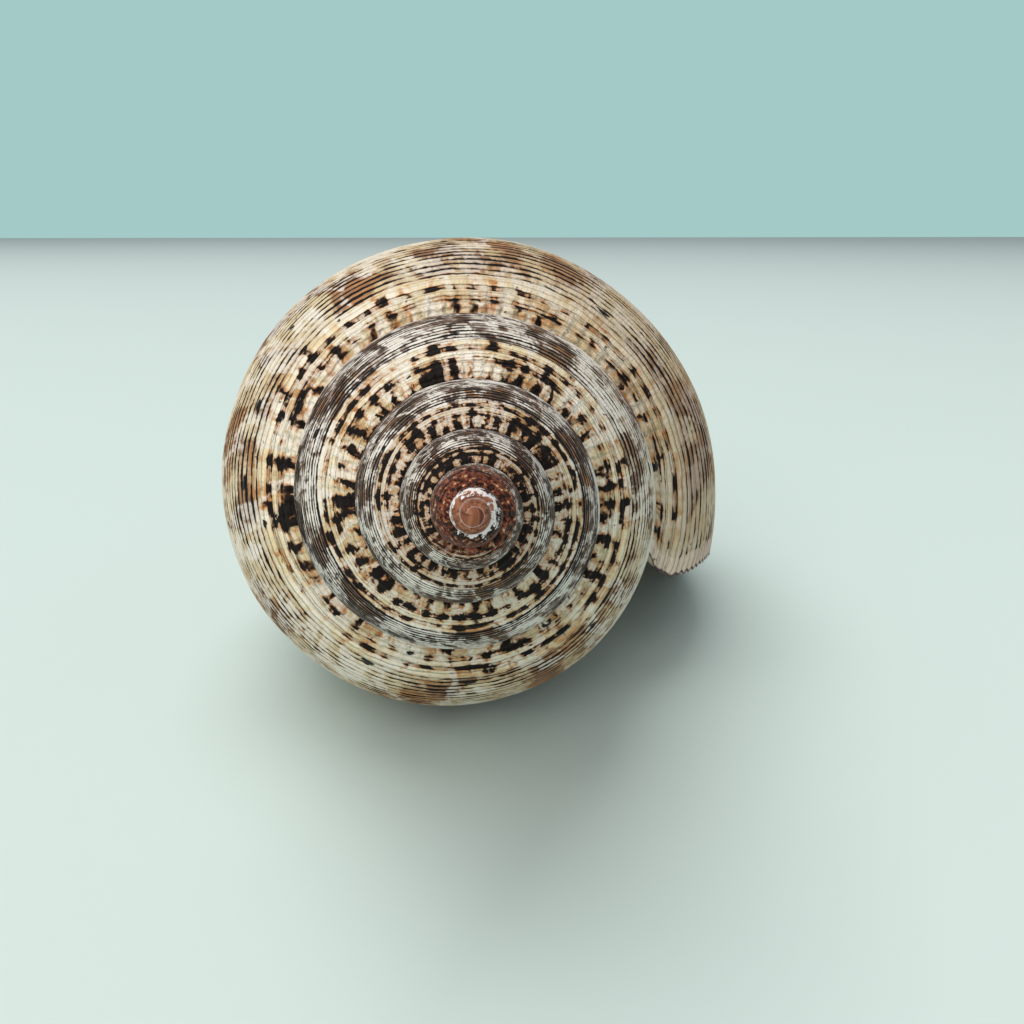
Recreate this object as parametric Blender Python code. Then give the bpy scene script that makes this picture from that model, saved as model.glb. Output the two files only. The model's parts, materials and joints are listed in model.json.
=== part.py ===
"""Tulip shell: a right-handed sea snail's shell, grown as one piece, lying on its aperture.

The shell is a profile that turns about the shell's own axis and grows by the same share with
every step, which is how the animal builds it. It is grown in its own growth frame (apex at the
origin, axis along +Z towards the siphonal canal) and the object is then laid down on +Z up.
Lengths are in metres. Places on the profile are in suture radii: the distance from the axis
to the seam between two turns, where the outer lip joins the body.
"""

import math

import bmesh
import bpy
from mathutils import Matrix, Vector

# Driving sizes
SUTURE_RADIUS = 0.020
WHORL_GROWTH = 1.82
SUTURE_HEIGHT = 2.9
TURNS = 5.5
STEPS_PER_TURN = 36

# The lip stops here, measured from +X of the growth frame in the direction of growth
LIP_ANGLE = math.radians(20)

# Roundness of a whorl between two seams, and how far its fullest place is drawn towards the apex
WHORL_BULGE = 0.29
BULGE_DRAW = 0.8

# Walls
LIP_WALL = 0.0014
CALLUS = 0.0003
CAVITY_TURNS = 2.2

# How the finished shell lies: it turns about its axis and tips its canal end down
LIE_ROLL = math.radians(-2.386)
LIE_PITCH = math.radians(12.612)
WORN_FLAT_DEPTH = 0.00025

# Three raised cords below the seam: (place along the visible profile, height), ridge and groove in turn
CORD_RELIEF = (
    (0.0, 0.0),
    (0.027, 0.018),
    (0.055, -0.008),
    (0.077, 0.010),
    (0.098, -0.008),
    (0.133, 0.014),
    (0.160, -0.008),
    (0.26, 0.0),
    (0.40, 0.0),
    (0.55, 0.0),
    (0.70, 0.0),
    (0.85, 0.0),
    (1.0, 0.0),
)

# Base and canal below the fullest part: (radius, distance from apex, share of the height that
# stays put while the shell grows, power at which the radius grows)
BASE_POINTS = (
    (1.69, 5.77, 0.00, 1.0),
    (1.39, 6.20, 0.05, 1.0),
    (0.98, 6.58, 0.20, 1.1),
    (0.66, 6.93, 0.50, 1.3),
    (0.49, 7.27, 0.80, 1.5),
    (0.40, 7.60, 1.00, 1.7),
)
BASE_SEGMENTS = (2, 3, 3, 2, 2, 2)
PHANTOM_PLACE = 0.8

# How far past LIP_ANGLE the lip's edge grows, along the profile: (place, degrees)
LIP_MARGIN = (
    (0.0, 0.0),
    (0.077, 3.0),
    (0.16, 2.0),
    (0.30, -1.0),
    (0.45, -2.8),
    (0.58, -2.8),
    (0.75, 0.5),
    (1.0, 4.5),
    (1.6, 3.0),
    (3.0, 1.0),
    (5.0, 0.5),
    (7.0, 0.0),
)

# The hollow's outline under the outer wall, its reach towards the canal's tip by degrees back
# from the lip, and how far it runs out past the tip, in suture radii for one place
HOLLOW_PLACES = (0.07, 0.18, 0.36, 0.54, 0.72, 0.9)
HOLLOW_FLOOR = ((-90, 7.4), (100, 7.4), (180, 6.0), (360, 4.6), (1000, 4.2))
HOLLOW_BASE_ROWS = 7
HOLLOW_INNER_TOP = 1.2
HOLLOW_PAST_TIP = 0.4
STEPS_PAST_LIP = 1.5

# The first rim of the apex lies within this many turns, and closes at a share of its height
APEX_RIM_TURNS = 1.5
NUCLEUS_SHARE = 0.6

SLAB_TIMES = 4
WELD_DISTANCE = 2e-6
NEAR_PLACE = 0.01

SHELL_COLOUR = (0.68, 0.55, 0.40, 1.0)
SHELL_ROUGHNESS = 0.45

TAU = 2 * math.pi
STEP = TAU / STEPS_PER_TURN
BASE_END = 1 + len(BASE_POINTS)
TIP_HEIGHT = BASE_POINTS[-1][1] * SUTURE_RADIUS


def blend_through(points, x):
    """The value at x of a broken line through (x, value) pairs."""
    for (x0, y0), (x1, y1) in zip(points, points[1:]):
        if x <= x1:
            return y0 + (y1 - y0) * (x - x0) / (x1 - x0)
    return points[-1][1]


def visible_point(place, relief=0.0):
    """Place 0 to 1 between two seams, as (radius, height) in suture radii."""
    chord = Vector((1.0, SUTURE_HEIGHT)) * (WHORL_GROWTH - 1)
    outward = Vector((chord.y, -chord.x)).normalized()
    bulge = WHORL_BULGE * math.sin(math.pi * place**BULGE_DRAW)
    return Vector((1.0, SUTURE_HEIGHT)) + chord * place + outward * (bulge + relief)


def base_row(place):
    """Place 1 to BASE_END below the fullest part, a smooth curve through BASE_POINTS."""
    rows = [(*visible_point(PHANTOM_PLACE), 0.0, 1.0), (*visible_point(1.0), 0.0, 1.0)]
    rows += BASE_POINTS
    span = min(int(place - 1), len(BASE_POINTS) - 1)
    x = place - 1 - span
    before, start, end = rows[span : span + 3]
    after = rows[min(span + 3, len(rows) - 1)]
    return [
        b + 0.5 * x * (c - a + x * (2 * a - 5 * b + 4 * c - d + x * (3 * (b - c) + d - a)))
        for a, b, c, d in zip(before, start, end, after)
    ]


def profile(place, angle, relief=0.0):
    """(radius, height) in metres on the profile that stands at this angle of growth."""
    size = WHORL_GROWTH ** ((angle - LIP_ANGLE) / TAU)
    if place <= 1:
        return visible_point(place, relief) * SUTURE_RADIUS * size
    radius, height, fixed, power = base_row(place)
    return Vector((radius * size**power, height * size ** (1 - fixed))) * SUTURE_RADIUS


def profile_normal(place, angle):
    """Outward, in the plane of the axis."""
    low = max(place - NEAR_PLACE, NEAR_PLACE)
    along = profile(min(low + 2 * NEAR_PLACE, BASE_END), angle) - profile(low, angle)
    return Vector((along.y, -along.x)).normalized()


def in_space(point, angle):
    return Vector((point.x * math.cos(angle), point.x * math.sin(angle), point.y))


def grow_chain(bm, points, closed=False):
    """A chain of edges through the points, from which a surface is extruded."""
    verts = [bm.verts.new(point) for point in points]
    pairs = list(zip(verts, verts[1:])) + ([(verts[-1], verts[0])] if closed else [])
    return verts, [bm.edges.new(pair) for pair in pairs]


def extrude_chain(bm, verts, edges):
    """Extrudes the chain once and returns the new chain in the same order."""
    made = bmesh.ops.extrude_edge_only(bm, edges=edges)["geom"]
    new_edges = [item for item in made if isinstance(item, bmesh.types.BMEdge)]
    new_verts = {item for item in made if isinstance(item, bmesh.types.BMVert)}
    ordered = []
    for vert in verts:
        ordered += [e.other_vert(vert) for e in vert.link_edges if e.other_vert(vert) in new_verts]
    return ordered, new_edges


def grow_whorls(bm):
    """The strip between two seams, one similarity step at a time, from the apex to the lip."""
    start = LIP_ANGLE - TURNS * TAU
    points = [in_space(profile(place, start, relief), start) for place, relief in CORD_RELIEF]
    chain = grow_chain(bm, points)
    step = Matrix.Rotation(STEP, 4, "Z") @ Matrix.Scale(WHORL_GROWTH ** (1 / STEPS_PER_TURN), 4)
    for _ in range(round(TURNS * STEPS_PER_TURN)):
        chain = extrude_chain(bm, *chain)
        bmesh.ops.transform(bm, matrix=step, verts=chain[0])
    return chain


def base_places():
    return [1 + span + k / count for span, count in enumerate(BASE_SEGMENTS) for k in range(count)] + [
        BASE_END
    ]


def grow_base(bm):
    """The base and the canal, which only the last turn shows."""
    places = base_places()
    start = LIP_ANGLE - TAU
    chain = grow_chain(bm, [in_space(profile(place, start), start) for place in places])
    for k in range(1, STEPS_PER_TURN + 1):
        angle = start + k * STEP
        chain = extrude_chain(bm, *chain)
        for vert, place in zip(chain[0], places):
            vert.co = in_space(profile(place, angle), angle)
    return chain


def grow_lip(bm, whorl_chain, base_chain):
    """The last strip, whose edge is drawn forward along LIP_MARGIN."""
    ends = ([place for place, _ in CORD_RELIEF], [relief for _, relief in CORD_RELIEF], whorl_chain)
    base = (base_places(), [0.0] * len(base_places()), base_chain)
    for places, reliefs, chain in (ends, base):
        verts, _ = extrude_chain(bm, *chain)
        for vert, place, relief in zip(verts, places, reliefs):
            angle = LIP_ANGLE + math.radians(blend_through(LIP_MARGIN, place))
            vert.co = in_space(profile(place, angle, relief), angle)


def close_surface(bm):
    """Closes the apex, the mouth and the tip of the canal, so that the shell is solid."""
    rim = [edge for edge in bm.edges if edge.is_boundary]
    near_tip = TIP_HEIGHT - WELD_DISTANCE
    start_height = SUTURE_RADIUS * SUTURE_HEIGHT * WHORL_GROWTH**-TURNS
    near_apex = start_height * WHORL_GROWTH**APEX_RIM_TURNS
    tip = [edge for edge in rim if min(v.co.z for v in edge.verts) > near_tip]
    apex = [edge for edge in rim if max(v.co.z for v in edge.verts) < near_apex]
    mouth = [edge for edge in rim if edge not in tip and edge not in apex]
    shared = {v for e in tip for v in e.verts} & {v for e in mouth for v in e.verts}
    bridge = bm.edges.new(sorted(shared, key=lambda v: v.co.length))
    nucleus = bmesh.ops.contextual_create(bm, geom=apex)["faces"]
    bmesh.ops.contextual_create(bm, geom=mouth + [bridge])
    bmesh.ops.contextual_create(bm, geom=tip + [bridge])
    centre = bmesh.ops.poke(bm, faces=nucleus)["verts"][0]
    centre.co = Vector((0, 0, NUCLEUS_SHARE * start_height))


def floor_place(angle):
    """How far towards the canal's tip the hollow reaches: right through it near the lip only."""
    return blend_through(HOLLOW_FLOOR, math.degrees(LIP_ANGLE - angle))


def cavity_ring(angle):
    """The hollow's outline at this angle: inside the wall, and outside the turn before."""
    size = WHORL_GROWTH ** ((angle - LIP_ANGLE) / TAU)
    wall, callus = LIP_WALL * size, CALLUS * size
    row = (floor_place(angle) - 1) / HOLLOW_BASE_ROWS
    base = [1 + row * k for k in range(1, HOLLOW_BASE_ROWS + 1)]
    outer = [(place, 0, -wall) for place in [*HOLLOW_PLACES, *base]]
    inner = [(place, TAU, callus) for place in [*reversed(base), HOLLOW_INNER_TOP]]
    ring = []
    for place, turn, offset in outer + inner:
        kept = min(place, BASE_END)
        point = profile(kept, angle - turn) + profile_normal(kept, angle - turn) * offset
        point.y += (place - kept) * SUTURE_RADIUS * HOLLOW_PAST_TIP
        ring.append(in_space(point, angle))
    return ring


def build_cavity():
    """The spiral hollow, from past the lip back through two turns."""
    bm = bmesh.new()
    first = LIP_ANGLE - round(CAVITY_TURNS * STEPS_PER_TURN) * STEP
    chain = grow_chain(bm, cavity_ring(first), closed=True)
    ends = [chain[1]]
    angle = first
    while angle < LIP_ANGLE + STEPS_PAST_LIP * STEP:
        angle += STEP
        chain = extrude_chain(bm, *chain)
        for vert, point in zip(chain[0], cavity_ring(angle)):
            vert.co = point
    ends.append(chain[1])
    for edges in ends:
        bmesh.ops.contextual_create(bm, geom=edges)
    return finish_mesh(bm, "cavity")


def finish_mesh(bm, name):
    bmesh.ops.triangulate(bm, faces=bm.faces)
    bmesh.ops.recalc_face_normals(bm, faces=bm.faces)
    mesh = bpy.data.meshes.new(name)
    bm.to_mesh(mesh)
    bm.free()
    return mesh


def build_shell():
    bm = bmesh.new()
    whorl_chain = grow_whorls(bm)
    base_chain = grow_base(bm)
    grow_lip(bm, whorl_chain, base_chain)
    bmesh.ops.remove_doubles(bm, verts=bm.verts, dist=WELD_DISTANCE)
    close_surface(bm)
    return finish_mesh(bm, "shell")


def lying_matrix(mesh):
    """Lays the axis down along +Y with the lip to the right, and stands the shell on z = 0."""
    flat = Matrix.Rotation(math.radians(-90) - LIE_PITCH, 4, "X") @ Matrix.Rotation(LIE_ROLL, 4, "Z")
    corners = [flat @ vert.co for vert in mesh.vertices]
    low = Vector(map(min, zip(*corners)))
    high = Vector(map(max, zip(*corners)))
    middle = (low + high) / 2
    return Matrix.Translation((-middle.x, -middle.y, -low.z - WORN_FLAT_DEPTH)) @ flat


def shell_material():
    material = bpy.data.materials.new("shell aragonite")
    material.use_nodes = True
    shader = material.node_tree.nodes["Principled BSDF"]
    shader.inputs["Base Color"].default_value = SHELL_COLOUR
    shader.inputs["Roughness"].default_value = SHELL_ROUGHNESS
    shader.inputs["Metallic"].default_value = 0.0
    return material


def add_object(name, mesh, collection):
    obj = bpy.data.objects.new(name, mesh)
    collection.objects.link(obj)
    return obj


def slab_mesh():
    """A block that reaches from the floor down, as wide as the shell and more."""
    size = SLAB_TIMES * TIP_HEIGHT
    bm = bmesh.new()
    bmesh.ops.create_cube(bm, size=size, matrix=Matrix.Translation((0, 0, -size / 2)))
    return finish_mesh(bm, "worn flat")


def cut(obj, cutter):
    cutter.hide_render = True
    cutter.display_type = "WIRE"
    modifier = obj.modifiers.new(cutter.name, "BOOLEAN")
    modifier.operation = "DIFFERENCE"
    modifier.object = cutter


def main():
    for obj in list(bpy.data.objects):
        bpy.data.objects.remove(obj)
    shell_parts = bpy.data.collections.new("tulip shell")
    cutters = bpy.data.collections.new("cutters")
    for collection in (shell_parts, cutters):
        bpy.context.scene.collection.children.link(collection)

    shell = add_object("shell", build_shell(), shell_parts)
    shell.data.materials.append(shell_material())
    shell.matrix_world = lying_matrix(shell.data)

    cavity = add_object("cavity", build_cavity(), cutters)
    cavity.matrix_world = shell.matrix_world
    cut(shell, cavity)
    cut(shell, add_object("worn flat", slab_mesh(), cutters))
    shell.data.shade_smooth()


main()
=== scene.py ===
# %% [markdown]
# Tulip shell: the empty shell of a large sea snail, lying on its open side and seen from its
# pointed end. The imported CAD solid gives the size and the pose. This lesson grows a finer
# shell in the same place, gives it its coloured cords, and lights it softly on a pale table.

# %% The fixed frame
import json
import math

import bmesh
import bpy
from mathutils import Matrix, Vector, noise

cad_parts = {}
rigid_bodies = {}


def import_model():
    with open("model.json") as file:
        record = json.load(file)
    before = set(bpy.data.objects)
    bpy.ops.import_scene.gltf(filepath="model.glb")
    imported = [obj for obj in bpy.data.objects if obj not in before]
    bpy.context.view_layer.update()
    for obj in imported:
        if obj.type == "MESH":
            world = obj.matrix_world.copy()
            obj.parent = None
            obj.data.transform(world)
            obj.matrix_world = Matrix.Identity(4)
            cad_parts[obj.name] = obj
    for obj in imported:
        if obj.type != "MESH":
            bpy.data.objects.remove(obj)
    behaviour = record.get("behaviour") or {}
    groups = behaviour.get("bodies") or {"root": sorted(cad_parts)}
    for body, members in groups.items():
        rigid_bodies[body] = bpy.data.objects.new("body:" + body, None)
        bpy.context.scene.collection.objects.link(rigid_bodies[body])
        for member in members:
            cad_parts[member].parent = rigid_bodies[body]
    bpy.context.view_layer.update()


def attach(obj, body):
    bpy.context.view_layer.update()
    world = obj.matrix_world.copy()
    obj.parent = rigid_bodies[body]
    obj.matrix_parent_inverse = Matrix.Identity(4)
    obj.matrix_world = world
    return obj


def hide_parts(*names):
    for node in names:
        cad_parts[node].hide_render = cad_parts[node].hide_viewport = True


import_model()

# %% [markdown]
# A snail builds its shell with one rule: the growing edge turns about the shell's axis and gets
# larger by the same share with every step. So the whole spire needs only a profile and that one
# step. Lengths are in metres. The growth frame has its apex at the origin and its axis along +Z,
# and places on the profile are in suture radii, the distance from the axis to the lip's seam.

# %% Growth of the shell
SUTURE_RADIUS = 0.020
WHORL_GROWTH = 1.82
SUTURE_HEIGHT = 2.9
WHORL_BULGE = 0.29
BULGE_DRAW = 0.8
LIP_ANGLE = math.radians(20)
TAU = 2 * math.pi
TURNS = 6.5
STEPS_PER_TURN = 120
STEP = TAU / STEPS_PER_TURN
larger = WHORL_GROWTH ** (1 / STEPS_PER_TURN) - 1
print("a step makes the shell larger by", round(larger * 100, 2), "%")

# %% [markdown]
# The visible part of a turn lies between two seams, place 0 and place 1. Under the seam the real
# shell has three strong cords with a thin riblet after each of the first two, and below them
# about thirty fine flat cords with narrow grooves. A picture of cords could be laid on a smooth
# surface, but then the outline would be smooth too. So the rows of vertices stand on each crest
# and in each groove. A cord's three numbers are its place, half its width and its height.

# %% Places of the cords on the profile
CORDS = (
    (0.027, 0.024, 0.020),
    (0.057, 0.008, 0.007),
    (0.077, 0.012, 0.012),
    (0.098, 0.010, 0.008),
    (0.133, 0.023, 0.015),
)
STRONG_ROWS = 18
FINE_START = 0.160
FINE_CORDS = 29
FINE_WIDTH = (1 - FINE_START) / FINE_CORDS
FINE_RELIEF = 0.005
STRIP_PLACES = [FINE_START * k / STRONG_ROWS for k in range(STRONG_ROWS)]
STRIP_PLACES += [FINE_START + FINE_WIDTH * k / 2 for k in range(2 * FINE_CORDS)] + [1.0]
LIP_ARC_MM = 52
print(len(STRIP_PLACES), "rows between two seams")
print("fine cords at the lip are", round(FINE_WIDTH * LIP_ARC_MM, 2), "mm wide")

# %% [markdown]
# Below place 1 come the base and the canal, which only the last turn shows. Each point has its
# radius, its distance from the apex, the share of the height that stays put while the shell
# grows, and the power at which its radius grows, so the canal gets longer without sliding away.
# The sea has rounded the tip of the canal, so its last rows are drawn in a little.

# %% The profile from seam to canal
BASE_POINTS = (
    (1.69, 5.77, 0.00, 1.0),
    (1.39, 6.20, 0.05, 1.0),
    (0.98, 6.58, 0.20, 1.1),
    (0.66, 6.93, 0.50, 1.3),
    (0.49, 7.27, 0.80, 1.5),
    (0.40, 7.60, 1.00, 1.7),
)
BASE_END = 1 + len(BASE_POINTS)
BASE_ROWS = 54
BASE_STEP = (BASE_END - 1) / BASE_ROWS
BASE_PLACES = [1 + BASE_STEP * k for k in range(BASE_ROWS + 1)]
BASE_SHARE = FINE_WIDTH / (2 * BASE_STEP)
PHANTOM_PLACE = 0.8
TIP_HEIGHT = BASE_POINTS[-1][1] * SUTURE_RADIUS
NEAR_PLACE = 0.01
TIP_WEAR_FROM = 6.4
TIP_WEAR = 0.20
print("canal tip", round(TIP_HEIGHT * 1000), "mm from the apex")

# %% [markdown]
# The visible part is a straight chord with a bulge, and the base points are joined by a smooth
# curve. Both are short formulas, so a point can be asked for at any place and at any angle of
# growth, and the hollow can follow the same profile later.

# %% A point on the profile
def visible_point(place):
    chord = Vector((1.0, SUTURE_HEIGHT)) * (WHORL_GROWTH - 1)
    outward = Vector((chord.y, -chord.x)).normalized()
    return Vector((1.0, SUTURE_HEIGHT)) + chord * place + outward * WHORL_BULGE * math.sin(
        math.pi * place**BULGE_DRAW
    )


def base_row(place):
    """A smooth curve through the base points, which leaves the visible part without a corner."""
    rows = [(*visible_point(PHANTOM_PLACE), 0.0, 1.0), (*visible_point(1.0), 0.0, 1.0), *BASE_POINTS]
    span = min(int(place - 1), len(BASE_POINTS) - 1)
    x = place - 1 - span
    before, start, end = rows[span : span + 3]
    after = rows[min(span + 3, len(rows) - 1)]
    return [
        b + 0.5 * x * (c - a + x * (2 * a - 5 * b + 4 * c - d + x * (3 * (b - c) + d - a)))
        for a, b, c, d in zip(before, start, end, after)
    ]


def size_at(angle):
    return WHORL_GROWTH ** ((angle - LIP_ANGLE) / TAU)


def profile(place, angle):
    """(radius, height) in metres on the profile that stands at this angle of growth."""
    size = size_at(angle)
    if place <= 1:
        return visible_point(place) * SUTURE_RADIUS * size
    radius, height, fixed, power = base_row(place)
    worn = max(0, (place - TIP_WEAR_FROM) / (BASE_END - TIP_WEAR_FROM))
    radius *= 1 - TIP_WEAR * worn**3
    return Vector((radius * size**power, height * size ** (1 - fixed))) * SUTURE_RADIUS


def profile_normal(place, angle):
    low = max(place - NEAR_PLACE, NEAR_PLACE)
    along = profile(min(low + 2 * NEAR_PLACE, BASE_END), angle) - profile(low, angle)
    return Vector((along.y, -along.x)).normalized()


def in_space(point, angle):
    return Vector((point.x * math.cos(angle), point.x * math.sin(angle), point.y))


print("widest radius at the lip:", round(profile(1.0, LIP_ANGLE).x * 1000, 1), "mm")

# %% [markdown]
# The surface is grown with two tools only: a chain of edges is extruded, and the new chain is
# turned and scaled by one step. Every vertex remembers its turn and its place, because the
# colours and the relief follow the growth.

# %% Growing a chain of edges
def start_chain(bm, points, places, turn, closed=False):
    turns, rows = address_layers(bm)
    verts = [bm.verts.new(point) for point in points]
    for vert, place in zip(verts, places):
        vert[turns], vert[rows] = turn, place
    pairs = list(zip(verts, verts[1:])) + ([(verts[-1], verts[0])] if closed else [])
    return verts, [bm.edges.new(pair) for pair in pairs]


def address_layers(bm):
    layers = bm.verts.layers.float
    return [layers.get(name) or layers.new(name) for name in ("turn", "place")]


def extrude_chain(bm, verts, edges, turn):
    """Extrudes the chain once and returns the new chain in the same order."""
    turns, _ = address_layers(bm)
    made = bmesh.ops.extrude_edge_only(bm, edges=edges)["geom"]
    new_edges = [item for item in made if isinstance(item, bmesh.types.BMEdge)]
    new_verts = {item for item in made if isinstance(item, bmesh.types.BMVert)}
    ordered = []
    for vert in verts:
        ordered += [e.other_vert(vert) for e in vert.link_edges if e.other_vert(vert) in new_verts]
    for vert in ordered:
        vert[turns] = turn
    return ordered, new_edges


print("a chain between two seams has", len(STRIP_PLACES) - 1, "edges")

# %% [markdown]
# The turn and the place of each vertex become the UV map named growth: the first number is the
# turn, 0 at the lip and negative towards the apex, and the second is the place. Past place 1 it
# is counted more slowly, so that a cord stays as wide on the base and the canal.

# %% The growth map
def write_growth_map(bm):
    turns, rows = address_layers(bm)
    growth = bm.loops.layers.uv.get("growth") or bm.loops.layers.uv.new("growth")
    for face in bm.faces:
        for loop in face.loops:
            place = loop.vert[rows]
            even = place if place < 1 else 1 + (place - 1) * BASE_SHARE
            loop[growth].uv = (loop.vert[turns], even)


print("growth map: turn", -TURNS, "to 0, place 0 to", round(1 + (BASE_END - 1) * BASE_SHARE, 2))

# %% [markdown]
# The strip between two seams is alike on every turn, so one chain is turned and enlarged from the
# apex to the lip. The base and the canal change their shape as they grow, so each of their chains
# is extruded in the same way and then set on its own profile. A screw modifier could sweep the
# profile as well, but it can't enlarge it by a share of its size.

# %% Growing the turns of the spire
def turn_of(angle):
    return (angle - LIP_ANGLE) / TAU


def grow_whorls(bm):
    start = LIP_ANGLE - TURNS * TAU
    points = [in_space(profile(place, start), start) for place in STRIP_PLACES]
    chain = start_chain(bm, points, STRIP_PLACES, -TURNS)
    step = Matrix.Rotation(STEP, 4, "Z") @ Matrix.Scale(WHORL_GROWTH ** (1 / STEPS_PER_TURN), 4)
    for k in range(1, round(TURNS * STEPS_PER_TURN) + 1):
        chain = extrude_chain(bm, *chain, k / STEPS_PER_TURN - TURNS)
        bmesh.ops.transform(bm, matrix=step, verts=chain[0])
    return chain


def grow_base(bm):
    start = LIP_ANGLE - TAU
    points = [in_space(profile(place, start), start) for place in BASE_PLACES]
    chain = start_chain(bm, points, BASE_PLACES, -1)
    for k in range(1, STEPS_PER_TURN + 1):
        angle = start + k * STEP
        chain = extrude_chain(bm, *chain, turn_of(angle))
        for vert, place in zip(chain[0], BASE_PLACES):
            vert.co = in_space(profile(place, angle), angle)
    return chain


outer = bmesh.new()
address_layers(outer)
grow_whorls(outer)
grow_base(outer)
bmesh.ops.recalc_face_normals(outer, faces=outer.faces)
write_growth_map(outer)
print("grown outside:", len(outer.faces), "faces")

# %% [markdown]
# The lip isn't straight. Its edge runs forward on the cords under the seam, falls back on the
# side of the turn, and runs forward again where it rests on the table. Each vertex of the last
# thirty degrees is grown a little more or less, so that the cords stay whole up to the edge.

# %% Drawing the lip's edge
LIP_MARGIN = (
    (0.0, 0.0),
    (0.03, 1.0),
    (0.06, 4.5),
    (0.12, 5.2),
    (0.20, 3.6),
    (0.32, 0.2),
    (0.45, -1.8),
    (0.58, -2.2),
    (0.75, 0.5),
    (1.0, 4.5),
    (1.6, 3.0),
    (3.0, 1.0),
    (5.0, 0.5),
    (7.0, 0.0),
)
LIP_REACH = 30 / 360
SCALLOP = 0.32
SCALLOP_POWER = 8
print("the lip's edge moves by up to", max(degrees for _, degrees in LIP_MARGIN), "degrees")

# %% [markdown]
# A vertex isn't pushed sideways: it is set on the profile at another angle, so it moves along the
# spiral. The move fades out to nothing at the thirty degrees.

# %% Growing the lip on
def blend_through(points, x):
    for (x0, y0), (x1, y1) in zip(points, points[1:]):
        if x <= x1:
            return y0 + (y1 - y0) * (x - x0) / (x1 - x0)
    return points[-1][1]


def smooth(x):
    x = min(max(x, 0.0), 1.0)
    return x * x * (3 - 2 * x)


def draw_lip(bm):
    """The margin is in degrees; the scallop lets each fine cord stand a little proud."""
    turns, rows = address_layers(bm)
    for vert in bm.verts:
        turn, place = vert[turns], vert[rows]
        if turn > -LIP_REACH:
            near = smooth(1 + turn / LIP_REACH)
            degrees = blend_through(LIP_MARGIN, place) * near
            if FINE_START < place < 1:
                wave = math.cos(TAU * (place - FINE_START) / FINE_WIDTH)
                degrees -= SCALLOP * wave * near**SCALLOP_POWER
            angle = LIP_ANGLE + turn * TAU + math.radians(degrees)
            vert.co = in_space(profile(place, angle), angle)


draw_lip(outer)
print("lip drawn over", round(LIP_REACH * 360), "degrees")

# %% [markdown]
# The strips are welded along the seams, and the open ends are closed: the apex by a small dome,
# the mouth and the tip of the canal by flat faces that the hollow cuts open again. Those faces
# get the second material, so that what is left of them belongs to the inside.

# %% Closing the solid
WELD_DISTANCE = 1.5e-6
APEX_RIM_TURNS = 1.5
NUCLEUS_SHARE = 0.55
NUCLEUS_SWIRL = 0.6
INSIDE = 1


def close_surface(bm):
    bmesh.ops.remove_doubles(bm, verts=bm.verts, dist=WELD_DISTANCE)
    rim = [edge for edge in bm.edges if edge.is_boundary]
    start_height = SUTURE_RADIUS * SUTURE_HEIGHT * WHORL_GROWTH**-TURNS
    near_tip = TIP_HEIGHT - WELD_DISTANCE
    near_apex = start_height * WHORL_GROWTH**APEX_RIM_TURNS
    tip = [edge for edge in rim if min(v.co.z for v in edge.verts) > near_tip]
    apex = [edge for edge in rim if max(v.co.z for v in edge.verts) < near_apex]
    mouth = [edge for edge in rim if edge not in tip and edge not in apex]
    shared = {v for e in tip for v in e.verts} & {v for e in mouth for v in e.verts}
    bridge = bm.edges.new(sorted(shared, key=lambda v: v.co.length))
    nucleus = bmesh.ops.contextual_create(bm, geom=apex)["faces"]
    lids = bmesh.ops.contextual_create(bm, geom=mouth + [bridge])["faces"]
    lids += bmesh.ops.contextual_create(bm, geom=tip + [bridge])["faces"]
    for face in lids:
        face.material_index = INSIDE
    centre = bmesh.ops.poke(bm, faces=nucleus)["verts"][0]
    growth = bm.loops.layers.uv["growth"]
    for face in centre.link_faces:
        for loop in face.loops:
            loop[growth].uv = (-TURNS, 0.5 + NUCLEUS_SWIRL * loop.vert.co.x / start_height)
    centre.co = Vector((0, 0, NUCLEUS_SHARE * start_height))
    bmesh.ops.triangulate(bm, faces=lids)
    bmesh.ops.recalc_face_normals(bm, faces=bm.faces)


close_surface(outer)
print("closed:", not [edge for edge in outer.edges if not edge.is_manifold])

# %% [markdown]
# Relief comes next. Each vertex moves along its own normal by a height that depends on its turn
# and place: the strong cords, the fine grooves, and the low waves where the animal paused.
# Heights are shares of the turn's own size, so the small turns near the apex get small cords.

# %% The height of the relief
SEAM_FADE = 0.010
WAVE_HEIGHT = 0.010
WAVES_PER_TURN = 14
WAVES_ACROSS = 2.2
WAVE_SLICE = 3.1
OLD_SHARE = 0.58
SHARE_FROM = -1.6
SHARE_TO = -0.6


def cord_share(turn):
    """The strong cords take a larger share of the earlier turns than of the last one."""
    return OLD_SHARE + (1 - OLD_SHARE) * smooth((turn - SHARE_FROM) / (SHARE_TO - SHARE_FROM))


def relief(turn, place):
    fade = smooth(place / SEAM_FADE) * smooth((1 - place) / SEAM_FADE) if place < 1 else 1.0
    share = cord_share(turn)
    height = 0.0
    for centre, half_width, rise in CORDS:
        reach = abs(place * share - centre) / half_width
        if reach < 1:
            height += rise * math.cos(reach * math.pi / 2) ** 2
    if place > FINE_START and place < 1:
        height -= FINE_RELIEF * (0.5 + 0.5 * math.cos(TAU * (place - FINE_START) / FINE_WIDTH))
    if place > 1:
        height -= FINE_RELIEF * (0.5 + 0.5 * math.cos(TAU * (place - 1) / (2 * BASE_STEP)))
    wave_at = Vector((turn * WAVES_PER_TURN, place * WAVES_ACROSS, WAVE_SLICE))
    return (height + WAVE_HEIGHT * noise.noise(wave_at)) * fade


print("strong cord", round(CORDS[0][2] * SUTURE_RADIUS * 1000, 2), "mm high at the lip")

# %% [markdown]
# All normals are read before the first vertex moves, because a moved vertex would turn the
# normals of its neighbours.

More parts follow.
